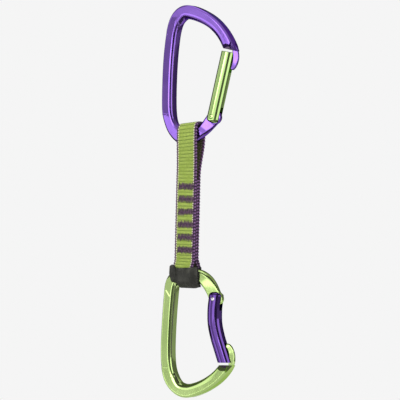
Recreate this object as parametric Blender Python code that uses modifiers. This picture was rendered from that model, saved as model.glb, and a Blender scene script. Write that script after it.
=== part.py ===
"""Climbing quickdraw: two carabiners joined by a sewn tape sling.

Lengths at the top are millimetres; MM turns them into metres. +Z is up along the hanging
quickdraw, -X is the carabiners' spine side, +X their gate side, and Y runs through their
thickness. The origin is where the upper carabiner sits on a bolt hanger.
"""

import math

import bmesh
import bpy
from mathutils import Matrix, Vector

MM = 0.001
GAP = 0.3

# A body's bar is a row of stations from the hinge tongue round to the nose:
# place across, height, width in the plane of the carabiner, and thickness.
UPPER = {
    "name": "upper",
    "stations": [
        (17.4, -70.4, 6.6, 3.4), (14.4, -73.6, 6.8, 3.4), (10.8, -77.2, 7.0, 7.4),
        (6.0, -81.3, 7.8, 8.0), (0.0, -84.4, 9.0, 8.0), (-6.0, -83.9, 9.0, 8.0),
        (-12.2, -79.6, 8.4, 9.0), (-15.6, -73.0, 7.7, 10.0), (-17.2, -62.0, 7.4, 10.0),
        (-17.5, -46.0, 7.4, 10.0), (-17.1, -29.0, 7.5, 10.0), (-15.7, -14.5, 7.4, 10.0),
        (-13.9, -4.6, 7.5, 10.0), (-9.8, 2.6, 8.5, 10.0), (-2.9, 5.0, 9.9, 10.0),
        (6.6, 2.2, 9.3, 10.0), (14.0, -1.2, 8.8, 10.0), (20.2, -5.7, 8.6, 10.0),
        (26.2, -12.3, 8.6, 10.0), (30.8, -20.4, 9.0, 10.0), (33.2, -26.4, 9.0, 10.0),
    ],
    "pin": (19.4, -68.6),
    "gate_path": [(19.4, -68.6), (24.6, -45.6), (30.9, -18.2)],
    "gate_radius": 5.0,
    "gate_tail": 4.6,
    "shoulder": (31.3, -21.6),
    "shoulder_tilt": -14.0,
    "nose": [
        (32.4, -18.6), (36.0, -20.4), (37.9, -25.9), (37.2, -29.5), (35.3, -32.6),
        (33.5, -34.6), (32.2, -34.8), (31.3, -33.4), (31.6, -31.0), (32.0, -26.0),
    ],
    "slot_floor": 1.4,
    "slot_start": 32.6,
    "bore_end": 26.0,
}
LOWER = {
    "name": "lower",
    "stations": [
        (22.4, -192.8, 6.6, 3.4), (19.0, -187.8, 7.0, 3.4), (14.4, -182.9, 7.2, 7.0),
        (8.6, -179.4, 7.4, 7.4), (1.0, -179.1, 7.4, 7.4), (-6.6, -179.7, 7.2, 7.4),
        (-11.3, -181.7, 7.2, 8.4), (-13.3, -187.0, 7.2, 9.6), (-13.4, -194.0, 7.1, 10.0),
        (-13.7, -206.0, 7.0, 10.0), (-13.9, -222.0, 7.0, 10.0), (-13.6, -238.0, 7.0, 10.0),
        (-11.6, -250.0, 7.4, 10.0),
        (-6.6, -257.0, 8.4, 10.0), (1.2, -260.9, 9.6, 10.0), (9.6, -259.4, 9.2, 10.0),
        (18.6, -255.4, 8.8, 10.0), (26.6, -250.0, 8.8, 10.0), (32.6, -243.6, 8.8, 10.0),
        (37.0, -236.0, 8.8, 10.0),
    ],
    "pin": (24.2, -195.4),
    "gate_path": [
        (24.2, -195.4), (23.5, -203.0), (23.9, -212.6), (26.1, -221.4), (28.9, -229.0),
        (34.6, -243.8),
    ],
    "gate_radius": 4.8,
    "gate_tail": 4.4,
    "shoulder": (34.7, -240.3),
    "shoulder_tilt": 10.0,
    "nose": [
        (35.6, -243.0), (38.8, -242.2), (40.6, -236.2), (39.7, -232.0), (37.1, -228.4),
        (35.3, -227.4), (33.9, -228.4), (33.8, -230.6), (34.4, -234.0), (35.0, -238.0),
    ],
    "slot_floor": 1.2,
    "slot_start": 32.2,
    "bore_end": 18.6,
}

# How finely the curves through stations, noses and gates are stepped.
SMOOTH_STEPS = 3
NOSE_STEPS = 2

# The bar's section: corner radii, and the largest share of a side that a corner may take.
OUTER_ROUND = 2.0
INNER_ROUND = 3.2
OUTER_SHARE = 0.45
INNER_SHARE = 0.8
WIDTH_SHARE = 0.9

# The hinge tongue is a flat web; its edge is a cam that pushes the plunger as the gate opens.
WEB = 3.4
TONGUE_RADIUS = 4.0
TONGUE_TRIM = 0.6
TONGUE_SWEEP = (-100, 61, 10)
CAM_START = 10.0
CAM_SPARE = 4.0
GATE_OPENS = 42.0

# The gate: its bore, its fork at the pin and its room at the shoulder.
PIN_RADIUS = 1.3
PIN_SIDES = 16
BORE_RADIUS = 1.9
BORE_START = 5.0
BORE_SIDES = 12
FORK_END = 7.6
END_GAP = 0.5
GATE_ROUNDNESS = 4
PLUNGER_TIP = 4.6
PLUNGER_RADIUS = 0.9
PLUNGER_HEAD = (9.0, 10.4)
PLUNGER_HEAD_RADIUS = 1.6
PLUNGER_TRAVEL = 2.2
SPRING_WIRE = 0.22
SPRING_RADIUS = 1.3
SPRING_PITCH = 1.4
SPRING_POINTS_A_TURN = 8
SPRING_ROUNDNESS = 1

# Cutters reach past what they cut; joined plates sit a little inside, so that no faces coincide.
SHOULDER_CUT = (18.0, 16.0, 20.0)
CUT_THROUGH = 9.0
CUT_WIDE = 24.0
CUT_PAST = 10.0
SLOT_DEEP = 10.0
SLOT_PAST = 4.0
SINK = 0.1
WELD = 0.001

# The sling: one tape, folded into a loop with its end lapped inside, under six bar tacks.
TAPE_WIDTH = 16.0
TAPE_CENTRE = 0.8
PLY = 2.3
PLY_PITCH = 2.7
UPPER_LOOP_GAP = 6.1
UPPER_LOOP_CENTRE = -79.8
UPPER_SPREAD = (-110.0, -84.0)
LOWER_LOOP_GAP = 4.7
LOWER_LOOP_CENTRE = -180.3
LOWER_SPREAD = (-166.0, -179.0)
LAP_TOP = -113.0
LAP_END = -166.0
LOOP_STEPS = 10
SPREAD_STEPS = 6
TACK_FIRST = -117.6
TACK_PITCH = 8.88
TACK_COUNT = 6
TACK_WIDTH = 11.6
TACK_TALL = 3.4
TACK_THICK = 0.6
STITCH_RADIUS = 0.5
STITCH_SIDES = 6
STITCH_PLACES = (-4.2, 0.0, 4.2)
KEEPER_WALL = 1.2
KEEPER_HALF_LENGTH = 9.4
KEEPER_TOP = -173.4
KEEPER_LIP = 7.0
KEEPER_TAPER = 0.4

# Where the sling swings on the upper bar, and the lower carabiner in the sling.
SLING_AXIS = (0.0, -82.0)
LOWER_AXIS = (0.0, -179.5)
PIVOT_SIZE = 6.0

PURPLE = (0.16, 0.075, 0.34)
GREEN = (0.40, 0.58, 0.17)
TAPE_GREEN = (0.36, 0.52, 0.075)
THREAD = (0.10, 0.045, 0.085)
RUBBER = (0.035, 0.034, 0.028)
STEEL = (0.62, 0.62, 0.64)
SHARP_ANGLE = 35.0

# Turns a flat outline drawn in (across, height) or (through, up) to where it stands.
UPRIGHT = Matrix.Rotation(math.pi / 2, 4, "X")
ACROSS = Matrix(((0, 0, 1, TAPE_CENTRE * MM), (1, 0, 0, 0), (0, 1, 0, 0), (0, 0, 0, 1)))

for old in list(bpy.data.objects):
    bpy.data.objects.remove(old, do_unlink=True)
PARTS = bpy.data.collections.new("climbing_quickdraw")
CUTTERS = bpy.data.collections.new("cutters")
for collection in (PARTS, CUTTERS):
    bpy.context.scene.collection.children.link(collection)


def finish(name, colour, roughness, metallic):
    """A Principled material."""
    made = bpy.data.materials.new(name)
    made.use_nodes = True
    shader = made.node_tree.nodes["Principled BSDF"]
    shader.inputs["Base Color"].default_value = (*colour, 1.0)
    shader.inputs["Roughness"].default_value = roughness
    shader.inputs["Metallic"].default_value = metallic
    return made


def add_mesh(name, mesh, material=None):
    """An object of the part, or a cutter where it has no material."""
    obj = bpy.data.objects.new(name, mesh)
    if material is None:
        CUTTERS.objects.link(obj)
        obj.hide_render = True
        obj.display_type = "WIRE"
    else:
        PARTS.objects.link(obj)
        mesh.materials.append(material)
        mesh.shade_smooth()
        mesh.set_sharp_from_angle(angle=math.radians(SHARP_ANGLE))
    return obj


def mesh_from(name, build):
    """A new mesh of what build() makes in a bmesh, with its faces pointing outwards."""
    work = bmesh.new()
    build(work)
    bmesh.ops.recalc_face_normals(work, faces=work.faces)
    mesh = bpy.data.meshes.new(name)
    work.to_mesh(mesh)
    work.free()
    return mesh


def pivot(name, place):
    """An empty on a joint's axis, at a place in the carabiner's plane."""
    empty = bpy.data.objects.new(name, None)
    empty.empty_display_size = PIVOT_SIZE * MM
    empty.location = in_plane(place) * MM
    PARTS.objects.link(empty)
    return empty


def hang(pieces, empty):
    """Parents pieces to an empty and leaves them where they stand: all locations are world places."""
    for piece in pieces:
        piece.parent = empty
        piece.matrix_parent_inverse = Matrix.Translation(-empty.location)


def in_plane(place, through=0.0):
    """The 3D point at a place (across, height) in the carabiner's plane."""
    return Vector((place[0], through, place[1]))


def smooth(points, steps):
    """A Catmull-Rom curve through points of any number of values."""
    first = [2 * a - b for a, b in zip(points[0], points[1])]
    last = [2 * a - b for a, b in zip(points[-1], points[-2])]
    padded = [first, *points, last]
    curve = []
    for i in range(1, len(padded) - 2):
        for k in range(steps):
            t = k / steps
            curve.append(tuple(
                0.5 * (2 * b + (c - a) * t + (2 * a - 5 * b + 4 * c - d) * t * t
                       + (3 * b - a - 3 * c + d) * t ** 3)
                for a, b, c, d in zip(*padded[i - 1:i + 3])
            ))
    curve.append(tuple(points[-1]))
    return curve


def tangents(points):
    """Unit directions along a row of points in the plane of the carabiner."""
    found = []
    for i in range(len(points)):
        before = points[max(i - 1, 0)]
        after = points[min(i + 1, len(points) - 1)]
        found.append(Vector((after[0] - before[0], after[1] - before[1])).normalized())
    return found


def rounded_section(width, thick):
    """Corners of the bar's section as (across, through): rounder on the inner side."""
    half, deep = width / 2, thick / 2
    outer = min(OUTER_ROUND, OUTER_SHARE * deep, WIDTH_SHARE * half)
    inner = min(INNER_ROUND, INNER_SHARE * deep, WIDTH_SHARE * half)
    section = []
    for side, turn, radius in ((1, 1, outer), (-1, 1, inner), (-1, -1, inner), (1, -1, outer)):
        angles = (0, 45, 90) if side * turn > 0 else (90, 45, 0)
        for angle in angles:
            out = math.cos(math.radians(angle))
            up = math.sin(math.radians(angle))
            section.append((side * (half - radius + radius * out),
                            turn * (deep - radius + radius * up)))
    return section


def loft(work, stations):
    """Joins the bar's unlike sections along its stations and closes both ends."""
    rings = []
    for (across, height, width, thick), along in zip(stations, tangents(stations)):
        outward = Vector((-along.y, along.x))
        ring = []
        for reach, through in rounded_section(width, thick):
            place = (across + outward.x * reach, height + outward.y * reach)
            ring.append(work.verts.new(in_plane(place, through) * MM))
        rings.append(ring)
    count = len(rings[0])
    for ring, following in zip(rings, rings[1:]):
        for k in range(count):
            after = (k + 1) % count
            work.faces.new((ring[k], ring[after], following[after], following[k]))
    work.faces.new(rings[0])
    work.faces.new(rings[-1])


def lay_spline(curve, points, closed=False):
    """Adds one spline of straight runs through points."""
    spline = curve.splines.new("POLY")
    spline.points.add(len(points) - 1)
    for target, place in zip(spline.points, points):
        target.co = (*(Vector(place) * MM), 1.0)
    spline.use_cyclic_u = closed


def flat_curve(name, outline, half_width, closed=True):
    """A 2D outline with an extrude: a plate where it is closed, a ribbon where it is open."""
    curve = bpy.data.curves.new(name, "CURVE")
    curve.dimensions = "2D"
    curve.fill_mode = "BOTH" if closed else "NONE"
    curve.extrude = half_width * MM
    lay_spline(curve, [(a, b, 0.0) for a, b in outline], closed)
    return curve


def tube_curve(name, points, radius, resolution):
    """A round tube with closed ends."""
    curve = bpy.data.curves.new(name, "CURVE")
    curve.dimensions = "3D"
    curve.bevel_depth = radius * MM
    curve.bevel_resolution = resolution
    curve.use_fill_caps = True
    lay_spline(curve, points)
    return curve


def solid_of(name, curve, place, material=None):
    """The curve made into a welded mesh object, moved by place."""
    guide = bpy.data.objects.new(name + "_guide", curve)
    CUTTERS.objects.link(guide)
    bpy.context.view_layer.update()
    made = bpy.data.meshes.new_from_object(guide.evaluated_get(bpy.context.evaluated_depsgraph_get()))
    bpy.data.objects.remove(guide, do_unlink=True)
    made.name = name
    made.transform(place)
    work = bmesh.new()
    work.from_mesh(made)
    bmesh.ops.remove_doubles(work, verts=work.verts, dist=WELD * MM)
    bmesh.ops.recalc_face_normals(work, faces=work.faces)
    work.to_mesh(made)
    work.free()
    made.materials.clear()
    return add_mesh(name, made, material)


def rod(name, low, high, radius, material=None, sides=PIN_SIDES):
    """A cylinder between two 3D points."""
    line = (Vector(high) - Vector(low)) * MM
    middle = (Vector(high) + Vector(low)) / 2 * MM
    place = Matrix.Translation(middle) @ line.to_track_quat("Z", "Y").to_matrix().to_4x4()

    def build(work):
        bmesh.ops.create_cone(work, cap_ends=True, segments=sides, radius1=radius * MM,
                              radius2=radius * MM, depth=line.length, matrix=place)

    return add_mesh(name, mesh_from(name, build), material)


def cross_rod(name, place, half_length, radius, material=None, sides=PIN_SIDES):
    """A cylinder along Y through a place in the carabiner's plane."""
    return rod(name, in_plane(place, -half_length), in_plane(place, half_length), radius, material, sides)


def block(name, centre, sides, tilt=0.0, material=None):
    """A box in (across, through, up), turned in the plane of the carabiner by tilt degrees."""
    place = Matrix.Translation(Vector(centre) * MM) @ Matrix.Rotation(math.radians(-tilt), 4, "Y")

    def build(work):
        bmesh.ops.create_cube(work, size=1.0,
                              matrix=place @ Matrix.Diagonal((*(Vector(sides) * MM), 1.0)))

    return add_mesh(name, mesh_from(name, build), material)


def boolean(target, other, operation):
    """Cuts target with other, or joins them; other then moves with target."""
    step = target.modifiers.new(operation.lower(), "BOOLEAN")
    step.operation = operation
    step.object = other
    step.solver = "EXACT"
    other.parent = target


def outward_of(along):
    """The direction square to a gate's run that points out of the carabiner."""
    return Vector((abs(along.y), -along.x * math.copysign(1, along.y)))


def tilt_of(along):
    """The tilt in degrees of a block whose height follows a gate's run."""
    return math.degrees(math.atan(-along.x / along.y))


def tilted_up(spec):
    """The direction square to the shoulder where the gate's end meets the body."""
    tilt = math.radians(spec["shoulder_tilt"])
    return Vector((-math.sin(tilt), math.cos(tilt)))


def axis_of(spec):
    """The gate's pin, its direction at the pin and the outward direction square to it."""
    pin = Vector(spec["pin"])
    along = (Vector(spec["gate_path"][1]) - pin).normalized()
    return pin, along, outward_of(along)


def cam_outline(spec):
    """The hinge tongue's edge round the pin: its reach grows as the gate turns inwards."""
    pin, along, outward = axis_of(spec)
    rise = PLUNGER_TRAVEL / GATE_OPENS
    outline = []
    for degrees in range(*TONGUE_SWEEP):
        reach = TONGUE_RADIUS + rise * min(max(degrees - CAM_START, 0), GATE_OPENS + CAM_SPARE)
        turn = math.radians(degrees)
        outline.append(tuple(pin + reach * (math.cos(turn) * along - math.sin(turn) * outward)))
    across, height, width, _ = spec["stations"][1]
    root = Vector((across, height))
    lean = (root - pin).normalized()
    side = Vector((-lean.y, lean.x))
    side *= math.copysign(width / 2 - TONGUE_TRIM, side.dot(outward))
    return [*outline, tuple(root - side + lean), tuple(root + side + lean)]


def carabiner_body(spec, material):
    """Forged bar, hinge tongue and nose key, joined, with the pin's hole."""
    name = spec["name"] + "_body"
    stations = smooth(spec["stations"], SMOOTH_STEPS)
    body = add_mesh(name, mesh_from(name, lambda work: loft(work, stations)), material)
    gate_side = math.copysign(1, spec["pin"][1] - spec["shoulder"][1])
    centre = Vector(spec["shoulder"]) + gate_side * SHOULDER_CUT[2] / 2 * tilted_up(spec)
    boolean(body, block(name + "_shoulder_cut", in_plane(centre), SHOULDER_CUT, spec["shoulder_tilt"]),
            "DIFFERENCE")
    nose = smooth([*spec["nose"], spec["nose"][0]], NOSE_STEPS)[:-1]
    boolean(body, solid_of(name + "_nose_key", flat_curve("nose_key", nose, WEB / 2), UPRIGHT), "UNION")
    tongue = flat_curve("tongue", cam_outline(spec), WEB / 2 - SINK)
    boolean(body, solid_of(name + "_tongue", tongue, UPRIGHT), "UNION")
    boolean(body, cross_rod(name + "_pin_hole", spec["pin"], CUT_THROUGH, PIN_RADIUS + GAP), "DIFFERENCE")
    return body


def gate_shape(spec, material):
    """The gate: a round bar along its path, forked at the pin, bored, and slotted at the nose."""
    name = spec["name"] + "_gate"
    pin, along, _ = axis_of(spec)
    path = smooth([tuple(pin - spec["gate_tail"] * along), *spec["gate_path"]], SMOOTH_STEPS)
    curve = tube_curve(name, [(a, b, 0.0) for a, b in path], spec["gate_radius"], GATE_ROUNDNESS)
    curve.twist_mode = "Z_UP"
    gate = solid_of(name, curve, UPRIGHT, material)

    slit = WEB + 2 * GAP
    fork = pin + (FORK_END - CUT_PAST) / 2 * along
    boolean(gate, block(name + "_fork_cut", in_plane(fork), (CUT_WIDE, slit, FORK_END + CUT_PAST),
                        tilt_of(along)), "DIFFERENCE")
    boolean(gate, rod(name + "_bore", in_plane(pin + BORE_START * along),
                      in_plane(pin + spec["bore_end"] * along), BORE_RADIUS, None, BORE_SIDES),
            "DIFFERENCE")
    boolean(gate, cross_rod(name + "_pin_bore", spec["pin"], CUT_THROUGH, PIN_RADIUS + GAP), "DIFFERENCE")

    tip = Vector(spec["gate_path"][-1])
    toward = (tip - Vector(spec["gate_path"][-2])).normalized()
    length = (tip - pin).length - spec["slot_start"] + SLOT_PAST
    slot = tip + (SLOT_PAST - length / 2) * toward
    slot += (spec["slot_floor"] + SLOT_DEEP / 2) * outward_of(toward)
    boolean(gate, block(name + "_nose_slot", in_plane(slot), (SLOT_DEEP, slit, length), tilt_of(toward)),
            "DIFFERENCE")

    body_side = math.copysign(1, tip.y - pin.y)
    face = Vector(spec["shoulder"]) + body_side * (CUT_PAST / 2 - END_GAP) * tilted_up(spec)
    boolean(gate, block(name + "_end_cut", in_plane(face), (CUT_WIDE, 2 * CUT_THROUGH, CUT_PAST),
                        spec["shoulder_tilt"]), "DIFFERENCE")
    return gate


def gate_pin(spec, material):
    """The hinge rivet, its ends just under the gate's surface."""
    return cross_rod(spec["name"] + "_gate_pin", spec["pin"], spec["gate_radius"] - SINK, PIN_RADIUS,
                     material)


def plunger(spec, material):
    """The rod that carries the spring's push to the hinge tongue: a stem and a head."""
    name = spec["name"] + "_gate_plunger"
    pin, along, _ = axis_of(spec)

    def length(part, start, end, radius, finish_of_part=None):
        return rod(part, in_plane(pin + start * along), in_plane(pin + end * along), radius,
                   finish_of_part, BORE_SIDES)

    head = length(name, *PLUNGER_HEAD, PLUNGER_HEAD_RADIUS, material)
    boolean(head, length(name + "_stem", PLUNGER_TIP, sum(PLUNGER_HEAD) / 2, PLUNGER_RADIUS), "UNION")
    return head


def gate_spring(spec, material):
    """The coil between the plunger's head and the end of the bore."""
    name = spec["name"] + "_gate_spring"
    pin, along, outward = axis_of(spec)
    start = PLUNGER_HEAD[1] + SPRING_WIRE + GAP
    end = spec["bore_end"] - SPRING_WIRE - GAP
    count = round((end - start) / SPRING_PITCH) * SPRING_POINTS_A_TURN
    points = []
    for k in range(count + 1):
        turn = 2 * math.pi * k / SPRING_POINTS_A_TURN
        place = pin + (start + (end - start) * k / count) * along
        place += SPRING_RADIUS * math.cos(turn) * outward
        points.append(in_plane(place, SPRING_RADIUS * math.sin(turn)))
    past_half_turn = SPRING_POINTS_A_TURN // 2 + 1
    least = min((points[i] - points[j]).length
                for i in range(count) for j in range(i + past_half_turn, count + 1))
    print(name, "least gap to itself", round(least - 2 * SPRING_WIRE, 2), "mm")
    return solid_of(name, tube_curve(name, points, SPRING_WIRE, SPRING_ROUNDNESS), Matrix(), material)


def ease(t):
    """0 to 1 with level ends."""
    return t * t * (3 - 2 * t)


def leg(start, end, heights):
    """(through, up) points of a tape leg that moves from one depth to another between two heights."""
    points = []
    for k in range(SPREAD_STEPS + 1):
        t = k / SPREAD_STEPS
        points.append((start + (end - start) * ease(t), heights[0] + (heights[1] - heights[0]) * t))
    return points


def arc(radius, centre, first, last):
    """(through, up) points of a tape loop's round end, by angle in degrees from +Y."""
    points = []
    for k in range(LOOP_STEPS + 1):
        turn = math.radians(first + (last - first) * k / LOOP_STEPS)
        points.append((radius * math.cos(turn), centre + radius * math.sin(turn)))
    return points


def tape_path():
    """The middle of the tape: down the inside lap, round the lower loop, up the front, over the upper
    loop and down the back to its end, with points between the bar tacks."""
    low = LOWER_LOOP_GAP + PLY / 2
    high = UPPER_LOOP_GAP + PLY / 2
    between = [TACK_FIRST - (row - 0.5) * TACK_PITCH for row in range(1, TACK_COUNT)]
    path = [(0.0, LAP_TOP)]
    path += [(0.0, up) for up in between]
    path += leg(0.0, low, LOWER_SPREAD)
    path += arc(low, LOWER_LOOP_CENTRE, 0, -180)
    path += reversed(leg(-PLY_PITCH, -low, LOWER_SPREAD))
    path += [(-PLY_PITCH, up) for up in reversed(between)]
    path += leg(-PLY_PITCH, -high, UPPER_SPREAD)
    path += arc(high, UPPER_LOOP_CENTRE, 180, 0)
    path += reversed(leg(PLY_PITCH, high, UPPER_SPREAD))
    path += [(PLY_PITCH, up) for up in between]
    path.append((PLY_PITCH, LAP_END))
    return path


def sling_tape(material):
    """The tape: a ribbon along its path with a Solidify, holed where the stitches go through."""
    ribbon = flat_curve("sling_tape", tape_path(), TAPE_WIDTH / 2, closed=False)
    tape = solid_of("sling_tape", ribbon, ACROSS, material)
    wall = tape.modifiers.new("thickness", "SOLIDIFY")
    wall.thickness = PLY * MM
    wall.offset = 0
    wall.use_even_offset = True
    for row in range(TACK_COUNT):
        for number, reach in enumerate(STITCH_PLACES, 1):
            place = (TAPE_CENTRE + reach, TACK_FIRST - row * TACK_PITCH)
            boolean(tape, cross_rod(f"stitch_hole_{row + 1}_{number}", place, CUT_THROUGH,
                                    STITCH_RADIUS + GAP, None, STITCH_SIDES), "DIFFERENCE")
    return tape


def bar_tack(row, material):
    """One block of stitching: a pad of thread on each face, joined by stitches through the plies."""
    name = f"bar_tack_{row + 1}"
    height = TACK_FIRST - row * TACK_PITCH
    face = PLY_PITCH + PLY / 2 + GAP + TACK_THICK / 2
    sides = (TACK_WIDTH, TACK_THICK, TACK_TALL)
    pad = block(name, (TAPE_CENTRE, -face, height), sides, material=material)
    for number, reach in enumerate(STITCH_PLACES, 1):
        boolean(pad, cross_rod(f"{name}_stitch_{number}", (TAPE_CENTRE + reach, height),
                               face + TACK_THICK / 4, STITCH_RADIUS, None, STITCH_SIDES), "UNION")
    boolean(pad, block(name + "_back", (TAPE_CENTRE, face, height), sides), "UNION")
    return pad


def keeper(material):
    """The rubber keeper: a trough round the lower loop, drawn in at its lips."""
    inner = LOWER_LOOP_GAP + PLY + GAP
    outer = inner + KEEPER_WALL
    rim = outer - KEEPER_TAPER
    outline = [(KEEPER_LIP, KEEPER_TOP), *arc(inner, LOWER_LOOP_CENTRE, 0, -180),
               (-KEEPER_LIP, KEEPER_TOP), (-rim, KEEPER_TOP),
               *arc(outer, LOWER_LOOP_CENTRE, -180, 0), (rim, KEEPER_TOP)]
    return solid_of("keeper", flat_curve("keeper", outline, KEEPER_HALF_LENGTH), ACROSS, material)


STEEL_FINISH = finish("rivet_steel", STEEL, 0.3, 1.0)
SPRING_FINISH = finish("spring_steel", STEEL, 0.35, 1.0)
THREAD_FINISH = finish("thread", THREAD, 0.7, 0.0)
SLING_PIVOT = pivot("sling_pivot", SLING_AXIS)
LOWER_PIVOT = pivot("lower_carabiner_pivot", LOWER_AXIS)
hang([LOWER_PIVOT], SLING_PIVOT)
hang([sling_tape(finish("tape", TAPE_GREEN, 0.8, 0.0)), keeper(finish("rubber", RUBBER, 0.6, 0.0)),
      *(bar_tack(row, THREAD_FINISH) for row in range(TACK_COUNT))], SLING_PIVOT)
for carabiner, body_colour, gate_colour, holder in ((UPPER, PURPLE, GREEN, None),
                                                    (LOWER, GREEN, PURPLE, LOWER_PIVOT)):
    side = carabiner["name"]
    fixed = [carabiner_body(carabiner, finish(side + "_body_anodised", body_colour, 0.25, 1.0)),
             gate_pin(carabiner, STEEL_FINISH)]
    hinge = pivot(side + "_gate_pivot", carabiner["pin"])
    hang([gate_shape(carabiner, finish(side + "_gate_anodised", gate_colour, 0.2, 1.0)),
          plunger(carabiner, STEEL_FINISH), gate_spring(carabiner, SPRING_FINISH)], hinge)
    if holder:
        hang([*fixed, hinge], holder)
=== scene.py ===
# %% [markdown]
# # A climbing quickdraw
# Two forged carabiners and a sewn tape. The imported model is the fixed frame: it gives the pieces, their
# places and the bodies they move with. This lesson works out the fine surfaces with numpy and hangs
# each one on its body.

# %% Load the frame
import math

import bmesh
import bpy
import numpy as np
from mathutils import Matrix, Vector


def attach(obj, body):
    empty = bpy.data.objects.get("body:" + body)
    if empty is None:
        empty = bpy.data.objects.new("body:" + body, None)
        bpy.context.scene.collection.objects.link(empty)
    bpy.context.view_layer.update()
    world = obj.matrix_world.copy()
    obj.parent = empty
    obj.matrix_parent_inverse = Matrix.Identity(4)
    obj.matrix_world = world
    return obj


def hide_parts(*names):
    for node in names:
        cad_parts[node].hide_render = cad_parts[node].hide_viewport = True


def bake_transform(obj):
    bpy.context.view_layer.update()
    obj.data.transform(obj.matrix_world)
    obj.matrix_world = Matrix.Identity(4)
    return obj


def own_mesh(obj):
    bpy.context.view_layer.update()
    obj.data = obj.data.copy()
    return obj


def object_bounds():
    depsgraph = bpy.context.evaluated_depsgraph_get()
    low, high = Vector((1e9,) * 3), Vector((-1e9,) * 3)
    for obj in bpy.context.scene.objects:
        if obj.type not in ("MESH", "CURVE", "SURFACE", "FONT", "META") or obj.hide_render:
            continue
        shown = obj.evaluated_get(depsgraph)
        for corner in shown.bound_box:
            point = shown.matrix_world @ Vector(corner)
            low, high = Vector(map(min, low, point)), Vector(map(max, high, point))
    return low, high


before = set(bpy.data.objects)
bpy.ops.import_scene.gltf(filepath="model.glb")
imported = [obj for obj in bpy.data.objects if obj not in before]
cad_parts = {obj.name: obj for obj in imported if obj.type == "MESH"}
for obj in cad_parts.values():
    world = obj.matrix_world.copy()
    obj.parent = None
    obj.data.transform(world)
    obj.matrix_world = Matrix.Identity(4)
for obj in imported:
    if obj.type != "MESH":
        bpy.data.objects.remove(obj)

CAD_BOX = [list(corner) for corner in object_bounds()]
MM = 0.001
rng = np.random.default_rng(7)

# %% [markdown]
# ## The view
# The photograph looks at the quickdraw level, from 30 degrees towards the gate side, through a long
# lens, and the object leans a little in it. A camera could be aimed with a constraint, but a written
# matrix keeps the small roll exact.

# %% Camera
AZIMUTH = math.radians(30.0)
ROLL = math.radians(1.36)
AIM = Vector((9.45, 0.0, -126.85)) * MM
FRAME_HEIGHT = 279.7 * MM
LENS = 250.0
SENSOR = 36.0

back = Vector((math.sin(AZIMUTH), -math.cos(AZIMUTH), 0.0))
level = Vector((math.cos(AZIMUTH), math.sin(AZIMUTH), 0.0))
up = Vector((0.0, 0.0, 1.0))
right_axis = level * math.cos(ROLL) + up * math.sin(ROLL)
up_axis = up * math.cos(ROLL) - level * math.sin(ROLL)
camera_data = bpy.data.cameras.new("camera")
camera_data.lens = LENS
camera_data.sensor_width = SENSOR
camera = bpy.data.objects.new("camera", camera_data)
bpy.context.scene.collection.objects.link(camera)
place = AIM + back * (FRAME_HEIGHT * LENS / SENSOR)
camera.matrix_world = Matrix((
    (right_axis.x, up_axis.x, back.x, place.x),
    (right_axis.y, up_axis.y, back.y, place.y),
    (right_axis.z, up_axis.z, back.z, place.z),
    (0.0, 0.0, 0.0, 1.0),
))
bpy.context.scene.camera = camera
print("camera distance", round((place - AIM).length, 3), "m")

# %% [markdown]
# ## Shader maths
# A material's pattern is a sum of small expressions. Nodes could be linked one by one, but a wrapped
# socket with operators lets a stripe be written as it is thought of.


# %% A socket that does arithmetic
class Wire:
    """A node socket: + and * on it add Math nodes, and node() adds any other node."""

    def __init__(self, tree, socket):
        self.tree, self.socket = tree, socket

    def node(self, kind, settings=None, out=0, **inputs):
        """A node of a type, with its settings, then values or links by socket name."""
        made = self.tree.nodes.new(kind)
        for key, value in (settings or {}).items():
            setattr(made, key, value)
        for key, value in inputs.items():
            numbered = key[1:].isdigit()
            socket = made.inputs[int(key[1:]) if numbered else key.replace("_", " ")]
            if isinstance(value, Wire):
                self.tree.links.new(value.socket, socket)
            else:
                socket.default_value = value
        return Wire(self.tree, made.outputs[out])

    def math(self, operation, a, b=0.0):
        """One Math node on values."""
        return self.node("ShaderNodeMath", {"operation": operation}, i0=a, i1=b)

    def mix(self, factor, a, b):
        """A blend of two colours."""
        return self.node("ShaderNodeMix", {"data_type": "RGBA"}, out=2, i0=factor, i6=a, i7=b)

    def noise(self, place, scale, detail):
        """Cloudy noise at a place."""
        return self.node("ShaderNodeTexNoise", Vector=place, Scale=scale, Detail=detail)

    def __add__(self, other):
        return self.math("ADD", self, other)

    def __radd__(self, other):
        return self.math("ADD", other, self)

    def __mul__(self, other):
        return self.math("MULTIPLY", self, other)

    def __rmul__(self, other):
        return self.math("MULTIPLY", other, self)

    def step(self, low, high):
        """0 below low, 1 above high, smooth between."""
        return self.node("ShaderNodeMapRange", {"interpolation_type": "SMOOTHSTEP"},
                         Value=self, From_Min=low, From_Max=high)


def material(name, build, **constants):
    """A Principled material: build(wire) returns the links of the sockets that vary over the surface."""
    made = bpy.data.materials.new(name)
    made.use_nodes = True
    tree = made.node_tree
    shader = tree.nodes["Principled BSDF"]
    for key, value in constants.items():
        shader.inputs[key.replace("_", " ")].default_value = value
    for key, wire in build(Wire(tree, None)).items():
        tree.links.new(wire.socket, shader.inputs[key.replace("_", " ")])
    return made


def colour(red, green, blue):
    """A colour given in screen values 0 to 255, as linear light."""
    screen = np.array((red, green, blue)) / 255.0
    linear = np.where(screen <= 0.04045, screen / 12.92, ((screen + 0.055) / 1.055) ** 2.4)
    return (*linear.tolist(), 1.0)


print("linear purple", [round(c, 3) for c in colour(120, 85, 180)])

# %% [markdown]
# ## Light
# Photographs of climbing gear are lit by large soft boxes, with dark cards beside them so that bright
# metal shows its edges. A pale world alone would make the metal look flat, so a ring of bright and dark
# cards that only reflections see stands round the quickdraw, with a few nearer ones on all sides.

# %% World, soft boxes, cards and floor
BACKGROUND, AMBIENT = colour(245, 245, 245), (0.55, 0.55, 0.55, 1.0)
scene = bpy.context.scene
scene.view_settings.view_transform = "Standard"

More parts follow.
